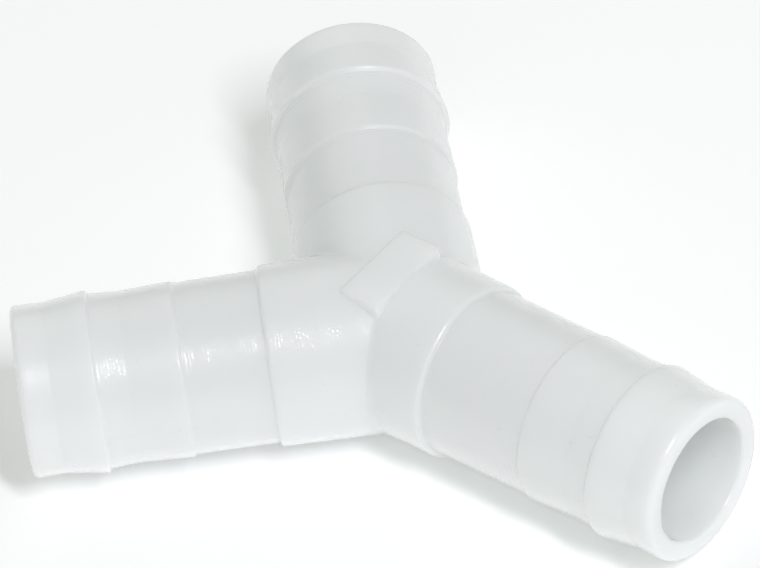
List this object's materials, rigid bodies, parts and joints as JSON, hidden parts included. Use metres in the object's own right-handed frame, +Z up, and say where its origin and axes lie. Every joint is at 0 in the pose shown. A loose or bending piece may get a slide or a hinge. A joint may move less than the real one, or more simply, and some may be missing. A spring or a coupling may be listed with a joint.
{
  "type": "tubing y connector",
  "caption": "Moulded Y connector for soft hose: hollow barbed spigots, a stem and a fork of equal branches at about a right angle, run into a stepped hub that shares one flow.",
  "frame": {"origin": "on the surface that the connector lies on, under the middle of its outline seen from above", "axes": "+Z up, square to the plane of the three arms; the stem runs to -Y, the two branches open to +Y, one each side of the plane X = 0"},
  "size_m": [0.0596, 0.0654, 0.0173],
  "materials": {
    "natural_polypropylene": "natural, slightly translucent, fine matt"
  },
  "bodies": {
    "root": {"y_connector": "natural_polypropylene"}
  },
  "joints": []
}
